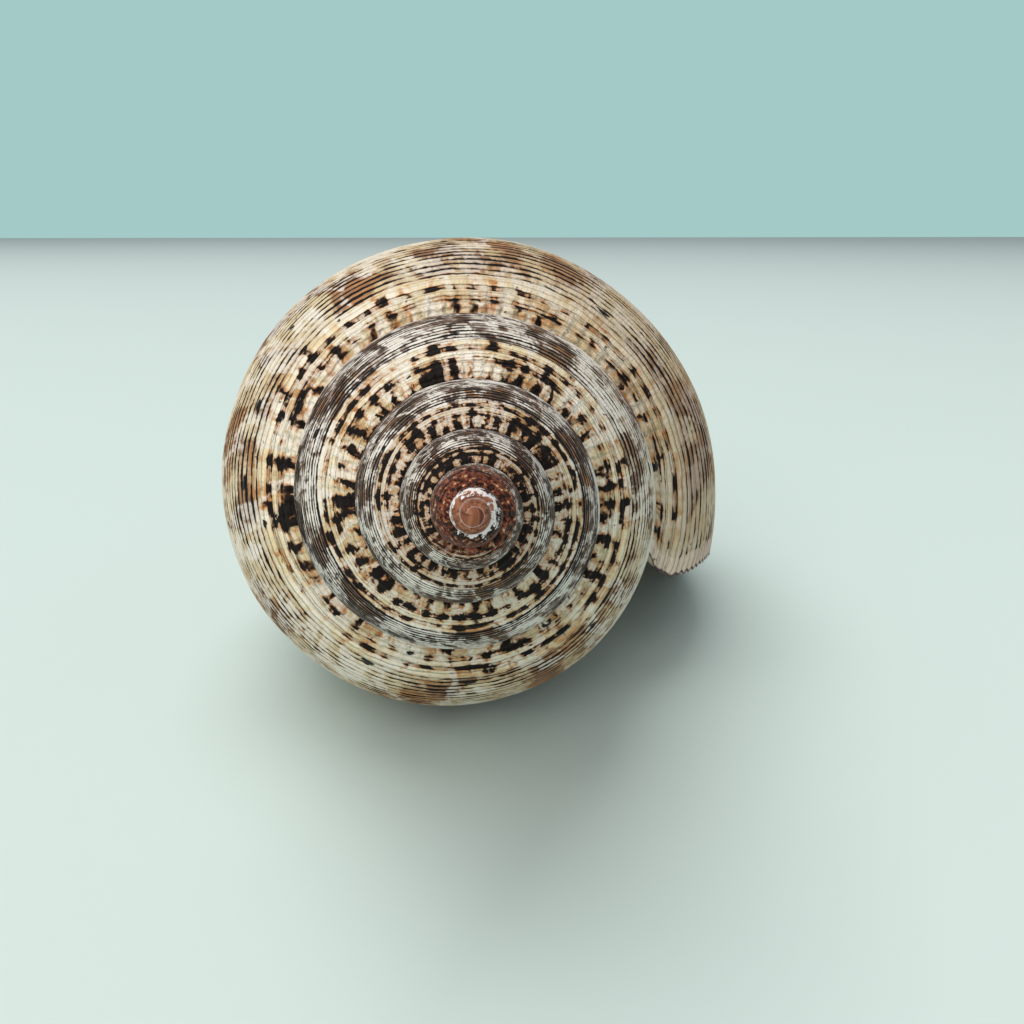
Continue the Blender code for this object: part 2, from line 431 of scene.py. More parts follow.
# %% Raising the cords
def raise_relief(bm):
    turns, rows = address_layers(bm)
    bm.normal_update()
    moves = []
    for vert in bm.verts:
        size = WHORL_GROWTH ** vert[turns]
        moves.append(vert.normal * relief(vert[turns], vert[rows]) * SUTURE_RADIUS * size)
    for vert, move in zip(bm.verts, moves):
        vert.co += move


raise_relief(outer)
print("raised:", len(outer.verts), "vertices")

# %% [markdown]
# The hollow is one more grown surface. Its outline runs under the outer wall and back along the
# turn before, so it leaves a wall 1.4 mm thick at the lip and a thin glaze on the body. Its
# floor is the place on the canal down to which it reaches, by the degrees back from the lip. It
# is made a closed solid of its own, because a Boolean then trims the mouth and the canal exactly.

# %% The outline of the hollow
LIP_WALL = 0.0014
CALLUS = 0.0003
CAVITY_TURNS = 2.2
HOLLOW_STEPS = 60
HOLLOW_TOP = (0.07, 0.12, 0.18, 0.26, 0.34, 0.42, 0.50, 0.58, 0.66, 0.74, 0.82, 0.9, 0.96)
HOLLOW_FLOOR = ((-90, 7.4), (100, 7.4), (180, 6.0), (360, 4.6), (1000, 4.2))
HOLLOW_BASE_ROWS = 16
HOLLOW_INNER_TOP = 1.2
HOLLOW_PAST_TIP = 0.4
HOLLOW_PLACE = 10
DEGREES_PAST_LIP = 16


def hollow_outline(angle):
    size = size_at(angle)
    row = (blend_through(HOLLOW_FLOOR, math.degrees(LIP_ANGLE - angle)) - 1) / HOLLOW_BASE_ROWS
    base = [1 + row * k for k in range(1, HOLLOW_BASE_ROWS + 1)]
    ring = [(place, 0, -LIP_WALL * size) for place in [*HOLLOW_TOP, *base]]
    ring += [(place, TAU, CALLUS * size) for place in [*reversed(base), HOLLOW_INNER_TOP]]
    points = []
    for place, turn, offset in ring:
        kept = min(place, BASE_END)
        point = profile(kept, angle - turn) + profile_normal(kept, angle - turn) * offset
        point.y += (place - kept) * SUTURE_RADIUS * HOLLOW_PAST_TIP
        points.append(in_space(point, angle))
    return points


print("wall at the lip:", LIP_WALL * 1000, "mm, glaze on the body:", CALLUS * 1000, "mm")

# %% [markdown]
# The outline is a closed chain. It is extruded step by step past the lip, so that the mouth is
# cut clean through, and its two ends are closed by faces.

# %% Growing the hollow
def grow_hollow():
    bm = bmesh.new()
    step = TAU / HOLLOW_STEPS
    angle = LIP_ANGLE - round(CAVITY_TURNS * HOLLOW_STEPS) * step
    points = hollow_outline(angle)
    places = [HOLLOW_PLACE + k / len(points) for k in range(len(points))]
    chain = start_chain(bm, points, places, turn_of(angle), closed=True)
    ends = [chain[1]]
    while angle < LIP_ANGLE + math.radians(DEGREES_PAST_LIP):
        angle += step
        chain = extrude_chain(bm, *chain, turn_of(angle))
        for vert, point in zip(chain[0], hollow_outline(angle)):
            vert.co = point
    ends.append(chain[1])
    for edges in ends:
        bmesh.ops.contextual_create(bm, geom=edges)
    bmesh.ops.triangulate(bm, faces=bm.faces)
    bmesh.ops.recalc_face_normals(bm, faces=bm.faces)
    write_growth_map(bm)
    for face in bm.faces:
        face.material_index = INSIDE
    return bm


hollow = grow_hollow()
print("hollow:", len(hollow.faces), "triangles")

# %% [markdown]
# The grown shell stands on its axis. It is laid down as it rests on a table: the axis tips
# nearly thirteen degrees towards the canal, and the body, the lip and the canal's end touch the
# ground. The place is given to the vertices and not to the object, which stays at the origin.

# %% Laying the shell down
LIE_ROLL = math.radians(-2.386)
LIE_PITCH = math.radians(12.612)
APEX_AT = Vector((-0.0045905, -0.075449, 0.0364446))
lying = Matrix.Translation(APEX_AT) @ Matrix.Rotation(math.radians(-90) - LIE_PITCH, 4, "X")
lying = lying @ Matrix.Rotation(LIE_ROLL, 4, "Z")


def laid_object(name, bm):
    bmesh.ops.transform(bm, matrix=lying, verts=bm.verts)
    mesh = bpy.data.meshes.new(name)
    bm.to_mesh(mesh)
    bm.free()
    obj = bpy.data.objects.new(name, mesh)
    bpy.context.scene.collection.objects.link(obj)
    return obj


shell = laid_object("tulip_shell", outer)
cutter = laid_object("hollow", hollow)
print("laid down, apex", round(APEX_AT.z * 1000, 1), "mm above the table")

# %% [markdown]
# The materials are named now, so that the cut faces keep the right one. A shell is aragonite, a
# hard form of calcium carbonate. Outside it was laid down in coloured cords and then worn by
# sand, which makes it satin and a little rough. Inside it was laid down in thin even layers,
# which makes it glossy and cream, like porcelain.

# %% Material names
outside = bpy.data.materials.new("worn aragonite")
inside = bpy.data.materials.new("porcelain aragonite")
for piece in (shell, cutter):
    for material in (outside, inside):
        piece.data.materials.append(material)
print("materials:", [material.name for material in shell.data.materials])

# %% [markdown]
# The Boolean leaves slivers along the cut, and here and there a face with many corners. Slivers
# are dissolved, and faces with more than four corners are made triangles. Nothing may stand
# below the table, so what the relief added under the shell is pressed flat. Shading is smooth
# except over the sharp edges of the lip.

# %% Cutting the hollow
SHARP_ANGLE = math.radians(38)
SLIVER = 1e-7
MOST_CORNERS = 4


def cut_and_finish(obj, tool):
    modifier = obj.modifiers.new("hollow", "BOOLEAN")
    modifier.operation = "DIFFERENCE"
    modifier.solver = "EXACT"
    modifier.object = tool
    bpy.context.view_layer.update()
    depsgraph = bpy.context.evaluated_depsgraph_get()
    done = bpy.data.meshes.new_from_object(obj.evaluated_get(depsgraph))
    obj.modifiers.clear()
    bm = bmesh.new()
    bm.from_mesh(done)
    for vert in bm.verts:
        vert.co.z = max(vert.co.z, 0.0)
    bmesh.ops.dissolve_degenerate(bm, dist=SLIVER, edges=bm.edges)
    many = [face for face in bm.faces if len(face.verts) > MOST_CORNERS]
    bmesh.ops.triangulate(bm, faces=many)
    for edge in bm.edges:
        edge.smooth = edge.is_manifold and edge.calc_face_angle(0) < SHARP_ANGLE
    for face in bm.faces:
        face.smooth = True
    bm.to_mesh(obj.data)
    bm.free()
    bpy.data.meshes.remove(done)
    bpy.data.objects.remove(tool)


cut_and_finish(shell, cutter)
triangles = sum(len(face.vertices) - 2 for face in shell.data.polygons)
print("finished shell:", triangles, "triangles", [uv.name for uv in shell.data.uv_layers])

# %% [markdown]
# Colours are written as the sRGB values that a picture shows, and one function turns them to
# linear light. One small function adds a node with its settings and what feeds its inputs.

# %% Colours and nodes
def linear(code):
    values = [int(code[k : k + 2], 16) / 255 for k in (1, 3, 5)]
    return (*[v / 12.92 if v <= 0.04045 else ((v + 0.055) / 1.055) ** 2.4 for v in values], 1.0)


def add(tree, kind, settings, inputs, out=0):
    made = tree.nodes.new("ShaderNode" + kind)
    for name, value in settings.items():
        setattr(made, name, value)
    for key, value in inputs.items():
        if isinstance(value, bpy.types.NodeSocket):
            tree.links.new(value, made.inputs[key])
        else:
            made.inputs[key].default_value = value
    return made.outputs[out] if made.outputs else made


def paint(material):
    material.use_nodes = True
    tree = material.node_tree
    tree.nodes.clear()
    return tree


print("mid grey in linear light:", round(linear("#808080")[0], 3))

# %% [markdown]
# Every pattern on the shell was laid down by the growing edge, so all of them read the growth
# map. The seam rows take a larger share of the early turns, so a second place is made for
# them. Both places waver a little, as the real cords do, and so does the count of turns. The
# sizes of patterns are in millimetres on the last turn, whose widest cord is about 168 mm long.
# They shrink with the earlier turns, as the real ones do.

# %% Outside finish: wavering places
TURN_MM = 168


def repeats(along_mm, across_mm):
    """Whole repeats, round a turn and across it, of a pattern that is this large."""
    return (round(TURN_MM / along_mm), round(LIP_ARC_MM / across_mm), 1)


tree = paint(outside)
growth = add(tree, "UVMap", {"uv_map": "growth"}, {})
turn = add(tree, "SeparateXYZ", {}, {0: growth})
place = turn.node.outputs[1]
size = add(tree, "Math", {"operation": "POWER"}, {0: WHORL_GROWTH, 1: turn})
WAVER = 0.011
LOOSENESS = 0.012
waver_place = add(tree, "VectorMath", {"operation": "MULTIPLY"}, {0: growth, 1: repeats(4.4, 5.8)})
waver = add(tree, "TexNoise", {}, {"Vector": waver_place, "Scale": 1.0, "Detail": 3.0, "Roughness": 0.6})
shift = add(tree, "MapRange", {}, {0: waver, 1: 0.0, 2: 1.0, 3: -WAVER, 4: WAVER})
row = add(tree, "Math", {"operation": "ADD"}, {0: place, 1: shift})
share = add(tree, "MapRange", {"interpolation_type": "SMOOTHSTEP"},
            {0: turn, 1: SHARE_FROM, 2: SHARE_TO, 3: OLD_SHARE, 4: 1.0})
seam_row = add(tree, "Math", {"operation": "MULTIPLY"}, {0: row, 1: share})
jitter_place = add(tree, "VectorMath", {"operation": "MULTIPLY"}, {0: growth, 1: repeats(1.77, 0.87)})
jitter = add(tree, "TexNoise", {}, {"Vector": jitter_place, "Scale": 1.0, "Detail": 2.0})
loose_turn = add(tree, "Math", {"operation": "MULTIPLY_ADD"}, {0: jitter, 1: LOOSENESS, 2: turn})
print("waver of a cord at the lip:", round(WAVER * LIP_ARC_MM / 2, 2), "mm")

# %% [markdown]
# Flames are broad stripes that cross the turns, brown where the mantle laid colour and white
# where it paused. They decide how dark the spots, the lines and the ground between them are. A
# wave texture would make them even, so they are stretched noise, and thin white flames run where
# a second noise is close to its middle. Three shares of the age, from the turn alone, are made
# here too: how old, how new, and whether the turn is one of the greyer ones.

# %% Outside finish: flames across the turns
FLAMES_PER_TURN = round(TURN_MM / 9.9)
FLAMES_ACROSS = 2.4
FLAME_SLANT = 0.8
THIN_HALF = 0.040
THIN_CORE = 0.006
AGE_FROM = -1.3
AGE_TO = -3.3
NEWEST_FROM = -0.40
NEWEST_TO = -0.10
OLD_FROM = -0.9
OLD_TO = -1.3
along = add(tree, "Math", {"operation": "MULTIPLY"}, {0: place, 1: FLAME_SLANT})
along = add(tree, "Math", {"operation": "MULTIPLY_ADD"}, {0: turn, 1: FLAMES_PER_TURN, 2: along})
across = add(tree, "Math", {"operation": "MULTIPLY"}, {0: row, 1: FLAMES_ACROSS})
flame_place = add(tree, "CombineXYZ", {}, {0: along, 1: across})
flame = add(tree, "TexNoise", {}, {"Vector": flame_place, "Scale": 1.0, "Detail": 5.0, "Roughness": 0.66})
brown = add(tree, "MapRange", {"interpolation_type": "SMOOTHSTEP"}, {0: flame, 1: 0.47, 2: 0.57})
white = add(tree, "MapRange", {"interpolation_type": "SMOOTHSTEP"}, {0: flame, 1: 0.46, 2: 0.38})
thin_place = add(tree, "VectorMath", {"operation": "MULTIPLY_ADD"},
                 {0: flame_place, 1: (0.62, 0.5, 1), 2: (3.7, 1.9, 0)})
thin = add(tree, "TexNoise", {}, {"Vector": thin_place, "Scale": 1.0, "Detail": 5.0, "Roughness": 0.65})
thin = add(tree, "Math", {"operation": "SUBTRACT"}, {0: thin, 1: 0.5})
thin = add(tree, "Math", {"operation": "ABSOLUTE"}, {0: thin})
thin = add(tree, "MapRange", {"interpolation_type": "SMOOTHSTEP"},
           {0: thin, 1: THIN_HALF, 2: THIN_CORE, 3: 0.0, 4: 0.8})
white = add(tree, "Math", {"operation": "MAXIMUM"}, {0: white, 1: thin})
shade = add(tree, "Math", {"operation": "SUBTRACT"}, {0: brown, 1: white})
age = add(tree, "MapRange", {"interpolation_type": "SMOOTHSTEP"}, {0: turn, 1: AGE_FROM, 2: AGE_TO})
newest = add(tree, "MapRange", {"interpolation_type": "SMOOTHSTEP"},
             {0: turn, 1: NEWEST_FROM, 2: NEWEST_TO})
old_turn = add(tree, "MapRange", {"interpolation_type": "SMOOTHSTEP"}, {0: turn, 1: OLD_FROM, 2: OLD_TO})
print("a flame is about", round(TURN_MM / FLAMES_PER_TURN, 1), "mm along the turn")

# %% [markdown]
# The fine cords are separated by narrow grooves filled with dark brown. Each groove has its own
# dashes: the line swells, thins and breaks off every few millimetres, and thins in a white flame.
# So the distance to the nearest groove is measured in cords, and each groove's number, times a
# jump that is larger than a noise cell, gives it a stretch of noise of its own.

# %% Outside finish: fine cords
FEWER_CORDS = 0.58
FINE_FROM_OLD = 0.118
FINE_FROM_NEW = 0.166
cord = add(tree, "Math", {"operation": "SUBTRACT"}, {0: row, 1: FINE_START})
cord = add(tree, "Math", {"operation": "DIVIDE"}, {0: cord, 1: FINE_WIDTH})
fewer = add(tree, "MapRange", {}, {0: age, 1: 0.0, 2: 1.0, 3: 1.0, 4: FEWER_CORDS})
cord = add(tree, "Math", {"operation": "MULTIPLY"}, {0: cord, 1: fewer})
cord_number = add(tree, "Math", {"operation": "ROUND"}, {0: cord})
off_groove = add(tree, "Math", {"operation": "SUBTRACT"}, {0: cord, 1: cord_number})
from_groove = add(tree, "Math", {"operation": "ABSOLUTE"}, {0: off_groove})
fine_from = add(tree, "MapRange", {"interpolation_type": "SMOOTHSTEP"},
                {0: turn, 1: SHARE_FROM, 2: SHARE_TO, 3: FINE_FROM_OLD, 4: FINE_FROM_NEW})
past_seam = add(tree, "Math", {"operation": "SUBTRACT"}, {0: seam_row, 1: fine_from})
is_fine = add(tree, "MapRange", {"interpolation_type": "SMOOTHSTEP"}, {0: past_seam, 1: 0.0, 2: 0.004})
print("fine cords begin", round(FINE_FROM_NEW * LIP_ARC_MM, 1), "mm below the seam at the lip")

# %% [markdown]
# A dash is stretched noise that is read once in each groove. The darker the flame, the wider the
# line. On the earlier turns the lines close to the strong cords are wider as well.

# %% Outside finish: the dashes in their grooves
DASHES_PER_TURN = round(TURN_MM / 3.65)
GROOVE_JUMP = 7.3
LINE_SOFTNESS = 0.13
dash_along = add(tree, "Math", {"operation": "MULTIPLY"}, {0: turn, 1: DASHES_PER_TURN})
dash_row = add(tree, "Math", {"operation": "MULTIPLY"}, {0: cord_number, 1: GROOVE_JUMP})
dash_place = add(tree, "CombineXYZ", {}, {0: dash_along, 1: dash_row})
dash = add(tree, "TexNoise", {}, {"Vector": dash_place, "Scale": 1.0, "Detail": 3.0, "Roughness": 0.6})
inked = add(tree, "Math", {"operation": "MULTIPLY_ADD"}, {0: shade, 1: 0.13, 2: dash})
inked = add(tree, "Math", {"operation": "MULTIPLY_ADD"}, {0: age, 1: 0.09, 2: inked})
upper = add(tree, "MapRange", {"interpolation_type": "SMOOTHSTEP"},
            {0: past_seam, 1: 0.10, 2: 0.01, 3: 0.0, 4: 0.17})
upper = add(tree, "Math", {"operation": "MULTIPLY"}, {0: upper, 1: old_turn})
inked = add(tree, "Math", {"operation": "ADD"}, {0: inked, 1: upper})
line_width = add(tree, "MapRange", {}, {0: inked, 1: 0.36, 2: 0.73, 3: -0.06, 4: 0.22})
line_edge = add(tree, "Math", {"operation": "ADD"}, {0: line_width, 1: LINE_SOFTNESS})
fine_line = add(tree, "MapRange", {"interpolation_type": "SMOOTHSTEP"},
                {0: from_groove, 1: line_width, 2: line_edge, 3: 1.0, 4: 0.0})
fine_line = add(tree, "Math", {"operation": "MULTIPLY"}, {0: fine_line, 1: is_fine})
groove_depth = add(tree, "MapRange", {"interpolation_type": "SMOOTHSTEP"},
                   {0: from_groove, 1: 0.05, 2: 0.30})
print("dashes are about", round(TURN_MM / DASHES_PER_TURN, 1), "mm apart")

# %% [markdown]
# On the strong cords the dark colour sits low: it fills every groove, makes a row of squares on
# each thin riblet, and crosses the crests only in blocks. So a ramp over the place says how hard
# each row is to stain. Each pair below is a place and how hard the ground is to stain there. A
# colour ramp only holds values up to 1, so it is filled with shares of the hardest.

# %% Outside finish: how hard each row under the seam is to stain
SEAM_REACH = 0.18
STAIN_LIMITS = (
    (0.000, 0.15), (0.004, 0.56), (0.010, 0.66), (0.040, 0.66), (0.0480, 0.42), (0.0515, 0.42),
    (0.055, 0.66), (0.060, 0.66), (0.0640, 0.42), (0.0660, 0.70), (0.069, 1.05), (0.085, 1.05),
    (0.0885, 0.62), (0.091, 0.38), (0.095, 0.52), (0.102, 0.52), (0.107, 0.34), (0.110, 0.56),
    (0.114, 0.92), (0.150, 0.98), (0.1555, 0.62), (0.1575, 0.28), (0.160, 0.28), (0.163, 0.80),
)
HARDEST = 1.5
in_seam = add(tree, "Math", {"operation": "DIVIDE"}, {0: seam_row, 1: SEAM_REACH})
limit = add(tree, "ValToRGB", {}, {0: in_seam})
stops = limit.node.color_ramp.elements
stops[1].position, stops[1].color = 1.0, (1, 1, 1, 1)
stops[0].color = (*[STAIN_LIMITS[0][1] / HARDEST] * 3, 1)
for at, hard in STAIN_LIMITS[1:]:
    stops.new(at / SEAM_REACH).color = (*[hard / HARDEST] * 3, 1)
limit = add(tree, "Math", {"operation": "MULTIPLY"}, {0: limit, 1: HARDEST})
print(len(STAIN_LIMITS), "limits over", round(SEAM_REACH * LIP_ARC_MM, 1), "mm under the seam")

# %% [markdown]
# The ink is noise with a beat: the mantle laid down dark colour in a rhythm that it didn't quite
# keep. Where the ink exceeds the limit, the ground is stained, first brown and then nearly black.
# The young animal made fewer blocks in a turn, so the count of turns is stretched for them.

# %% Outside finish: the ink
BLOCK_REPEATS = repeats(2.7, 3.7)
BEATS_PER_TURN = round(TURN_MM / 2.9)
FEWER_WHEN_YOUNG = 0.0685
INK_FROM = -0.75
INK_TO = 1.75
BEAT_SHARE = 0.20
pace = add(tree, "Math", {"operation": "MULTIPLY_ADD"}, {0: loose_turn, 1: FEWER_WHEN_YOUNG, 2: 1.0})
paced = add(tree, "Math", {"operation": "MULTIPLY"}, {0: loose_turn, 1: pace})
ink_place = add(tree, "CombineXYZ", {}, {0: paced, 1: row})
ink_place = add(tree, "VectorMath", {"operation": "MULTIPLY"}, {0: ink_place, 1: BLOCK_REPEATS})
ink = add(tree, "TexNoise", {}, {"Vector": ink_place, "Scale": 1.0, "Detail": 3.0, "Roughness": 0.5})
ink = add(tree, "MapRange", {"clamp": False}, {0: ink, 1: 0.0, 2: 1.0, 3: INK_FROM, 4: INK_TO})
ink = add(tree, "Math", {"operation": "MULTIPLY_ADD"}, {0: shade, 1: 0.34, 2: ink})
ink = add(tree, "Math", {"operation": "MULTIPLY_ADD"}, {0: old_turn, 1: 0.10, 2: ink})
ink = add(tree, "Math", {"operation": "MULTIPLY_ADD"}, {0: age, 1: 0.28, 2: ink})
beat = add(tree, "Math", {"operation": "MULTIPLY"}, {0: paced, 1: BEATS_PER_TURN * TAU})
beat = add(tree, "Math", {"operation": "SINE"}, {0: beat})
ink = add(tree, "Math", {"operation": "MULTIPLY_ADD"}, {0: beat, 1: BEAT_SHARE, 2: ink})
print("blocks are about", round(TURN_MM / BLOCK_REPEATS[0], 1), "mm apart")

# %% [markdown]
# On the newest part of the last turn the blocks are rarer and stay between the crests. The rim is
# the faint orange halo that surrounds each block, because the stain has crept into the ground.

# %% Outside finish: where the ink stains
harder = add(tree, "MapRange", {"interpolation_type": "SMOOTHSTEP"},
             {0: limit, 1: 0.38, 2: 0.62, 3: 0.0, 4: 0.30})
excess = add(tree, "Math", {"operation": "SUBTRACT"}, {0: ink, 1: limit})
harder = add(tree, "Math", {"operation": "MULTIPLY"}, {0: harder, 1: newest})
excess = add(tree, "Math", {"operation": "SUBTRACT"}, {0: excess, 1: harder})
excess = add(tree, "Math", {"operation": "SUBTRACT"}, {0: excess, 1: is_fine})
spot = add(tree, "MapRange", {"interpolation_type": "SMOOTHSTEP"}, {0: excess, 1: -0.03, 2: 0.22})
spot_rim = add(tree, "MapRange", {"interpolation_type": "SMOOTHSTEP"}, {0: excess, 1: -0.36, 2: 0.0})
print("stain nodes so far:", len(tree.nodes))

# %% [markdown]
# The colours of the outside come next. They are those of a worn shell in soft daylight, from
# the ivory of the ground to the nearly black brown of the lines. The olive is painted shade for
# the low grooves between the strong cords.

# %% Outside finish: colours
IVORY = linear("#DFD5BC")
CREAM = linear("#CFB98C")
TAN = linear("#A07E5C")
CHESTNUT = linear("#765038")
SPOT_BROWN = linear("#54331D")
LINE_BROWN = linear("#100906")
ORANGE = linear("#B67A45")
LILAC = linear("#6A544A")
GREY_LILAC = linear("#A39791")
GREY_WHITE = linear("#D6D1C9")
DUSK = linear("#241A18")
# The olive is painted shade for the grooves between the strong cords.
GROOVE_SHADE_OLIVE = linear("#857A5C")
AMBER = linear("#B07A48")
CHALK = linear("#E4DED3")
print("ivory in linear light:", [round(value, 2) for value in IVORY[:3]])

# %% [markdown]
# The ground goes from ivory to cream in soft patches, and brown flames stain it tan and then
# chestnut. The stain follows fine fibres, which are noise that is stretched along the turn.

# %% Outside finish: ground colour
TINTS_PER_TURN = round(TURN_MM / 7.3)
FIBRE_REPEATS = repeats(6.5, 0.4)
tint = add(tree, "TexNoise", {},
           {"Vector": growth, "Scale": TINTS_PER_TURN, "Detail": 4.0, "Roughness": 0.65})
yellowed = add(tree, "MapRange", {}, {0: tint, 1: 0.35, 2: 0.62})
ground = add(tree, "Mix", {"data_type": "RGBA"}, {0: yellowed, 6: IVORY, 7: CREAM}, out=2)
fibre_place = add(tree, "VectorMath", {"operation": "MULTIPLY"}, {0: growth, 1: FIBRE_REPEATS})
fibre = add(tree, "TexNoise", {}, {"Vector": fibre_place, "Scale": 1.0, "Detail": 2.0, "Distortion": 0.3})
stain = add(tree, "Math", {"operation": "MULTIPLY_ADD"}, {0: fibre, 1: 0.9, 2: -0.25})
stain = add(tree, "Math", {"operation": "MULTIPLY_ADD", "use_clamp": True},
            {0: brown, 1: 0.85, 2: stain})
stain = add(tree, "Math", {"operation": "MULTIPLY"}, {0: stain, 1: is_fine})
stained = add(tree, "Mix", {"data_type": "RGBA"}, {0: stain, 6: ground, 7: TAN}, out=2)
deep = add(tree, "Math", {"operation": "MULTIPLY"}, {0: brown, 1: fibre})
deep = add(tree, "MapRange", {"interpolation_type": "SMOOTHSTEP"}, {0: deep, 1: 0.34, 2: 0.60})
deep = add(tree, "Math", {"operation": "MULTIPLY"}, {0: deep, 1: is_fine})
last_ground = add(tree, "Mix", {"data_type": "RGBA"}, {0: deep, 6: stained, 7: CHESTNUT}, out=2)
print("ground fibres are", round(LIP_ARC_MM / FIBRE_REPEATS[1], 1), "mm wide")

# %% [markdown]
# The turns above the last one have lost their warm colour. Each of their cords carries its own
# short flecks, from nearly black through lilac and grey to a greyish white, and they take the
# place of the ground between the strong cords and the next seam.

# %% Outside finish: the greyer turns
FLECKS_PER_TURN = round(TURN_MM / 6.5)
CORD_JUMP = 5.3
cord_index = add(tree, "Math", {"operation": "FLOOR"}, {0: cord})
fleck_row = add(tree, "Math", {"operation": "MULTIPLY"}, {0: cord_index, 1: CORD_JUMP})
fleck_along = add(tree, "Math", {"operation": "MULTIPLY"}, {0: turn, 1: FLECKS_PER_TURN})
fleck_place = add(tree, "CombineXYZ", {}, {0: fleck_along, 1: fleck_row})
fleck = add(tree, "TexNoise", {}, {"Vector": fleck_place, "Scale": 1.0, "Detail": 3.0, "Roughness": 0.6})
fleck = add(tree, "Math", {"operation": "MULTIPLY_ADD"}, {0: fleck, 1: 1.3, 2: -0.15})
fleck = add(tree, "Math", {"operation": "MULTIPLY_ADD"}, {0: shade, 1: -0.20, 2: fleck})
fleck = add(tree, "Math", {"operation": "MULTIPLY_ADD"}, {0: age, 1: -0.09, 2: fleck})
dusky = add(tree, "ValToRGB", {}, {0: fleck})
stops = dusky.node.color_ramp.elements
stops[0].position, stops[0].color = 0.34, DUSK
stops[1].position, stops[1].color = 0.57, GREY_WHITE
stops.new(0.41).color = LILAC
stops.new(0.49).color = GREY_LILAC
old_fine = add(tree, "Math", {"operation": "MULTIPLY"}, {0: old_turn, 1: is_fine})
old_fine = add(tree, "Math", {"operation": "MULTIPLY"}, {0: old_fine, 1: 0.9})
ground = add(tree, "Mix", {"data_type": "RGBA"}, {0: old_fine, 6: last_ground, 7: dusky}, out=2)
print("a fleck is about", round(TURN_MM / FLECKS_PER_TURN, 1), "mm long")

# %% [markdown]
# Five thin washes finish the ground: amber in some flames, painted olive shade low in the
# grooves between the strong cords, a little tan on the newest shell, chalk white in the white
# flames, and lilac on the oldest turns.
# Each is one Mix node, so that a wash can be changed without touching the others.

# %% Outside finish: thin washes over the ground
# Painted shade: olive darkens the low rows between the strong cords, where shade lies in the grooves.
painted_groove_shade = add(tree, "MapRange", {"interpolation_type": "SMOOTHSTEP"},
              {0: limit, 1: 0.90, 2: 0.45, 3: 0.0, 4: 0.6})
is_strong = add(tree, "Math", {"operation": "SUBTRACT"}, {0: 1.0, 1: is_fine})
painted_groove_shade = add(tree, "Math", {"operation": "MULTIPLY"}, {0: painted_groove_shade, 1: is_strong})
painted_groove_shade = add(tree, "Math", {"operation": "MULTIPLY"}, {0: painted_groove_shade, 1: yellowed})
warm = add(tree, "MapRange", {"interpolation_type": "SMOOTHSTEP"},
           {0: tint, 1: 0.48, 2: 0.62, 3: 0.0, 4: 0.75})
warm = add(tree, "Math", {"operation": "MULTIPLY"}, {0: warm, 1: brown})
ground = add(tree, "Mix", {"data_type": "RGBA"}, {0: warm, 6: ground, 7: AMBER}, out=2)
ground = add(tree, "Mix", {"data_type": "RGBA"}, {0: painted_groove_shade, 6: ground, 7: GROOVE_SHADE_OLIVE}, out=2)
tanned = add(tree, "Math", {"operation": "MULTIPLY"}, {0: newest, 1: 0.35})
ground = add(tree, "Mix", {"data_type": "RGBA"}, {0: tanned, 6: ground, 7: TAN}, out=2)
bleach = add(tree, "MapRange", {}, {0: newest, 1: 0.0, 2: 1.0, 3: 0.8, 4: 0.3})
bleach = add(tree, "Math", {"operation": "MULTIPLY"}, {0: bleach, 1: white})
ground = add(tree, "Mix", {"data_type": "RGBA"}, {0: bleach, 6: ground, 7: CHALK}, out=2)
dulled = add(tree, "MapRange", {}, {0: is_fine, 1: 0.0, 2: 1.0, 3: 0.45, 4: 0.10})
dulled = add(tree, "Math", {"operation": "MULTIPLY"}, {0: age, 1: dulled})
ground = add(tree, "Mix", {"data_type": "RGBA"}, {0: dulled, 6: ground, 7: LILAC}, out=2)
print("ground finished:", len(tree.nodes), "nodes so far")

# %% [markdown]
# Over the ground come the orange halos, then the spots, brown at their edge and nearly black in
# their core, and last the dark lines in the grooves. The halo is uneven, so noise thins it out.

# %% Outside finish: orange rims, dark spots and dark lines
rim_amount = add(tree, "MapRange", {"interpolation_type": "SMOOTHSTEP"}, {0: jitter, 1: 0.32, 2: 0.68})
rim_amount = add(tree, "Math", {"operation": "MULTIPLY"}, {0: spot_rim, 1: rim_amount})
rimmed = add(tree, "Mix", {"data_type": "RGBA"}, {0: rim_amount, 6: ground, 7: ORANGE}, out=2)
core = add(tree, "MapRange", {"interpolation_type": "SMOOTHSTEP"}, {0: excess, 1: 0.06, 2: 0.30})
spot_colour = add(tree, "Mix", {"data_type": "RGBA"}, {0: core, 6: SPOT_BROWN, 7: LINE_BROWN}, out=2)
spotted = add(tree, "Mix", {"data_type": "RGBA"}, {0: spot, 6: rimmed, 7: spot_colour}, out=2)
lined = add(tree, "Mix", {"data_type": "RGBA"}, {0: fine_line, 6: spotted, 7: LINE_BROWN}, out=2)
print("spots and lines:", len(tree.nodes), "nodes so far")

# %% [markdown]
# The first turns are the oldest. The sea has worn them to a reddish brown with a chipped white
# ring, round a bare nucleus the colour of weak tea. Each zone begins at a turn of growth, and
# noise moves that turn to and fro, so that the edges are ragged as chipped ones are.

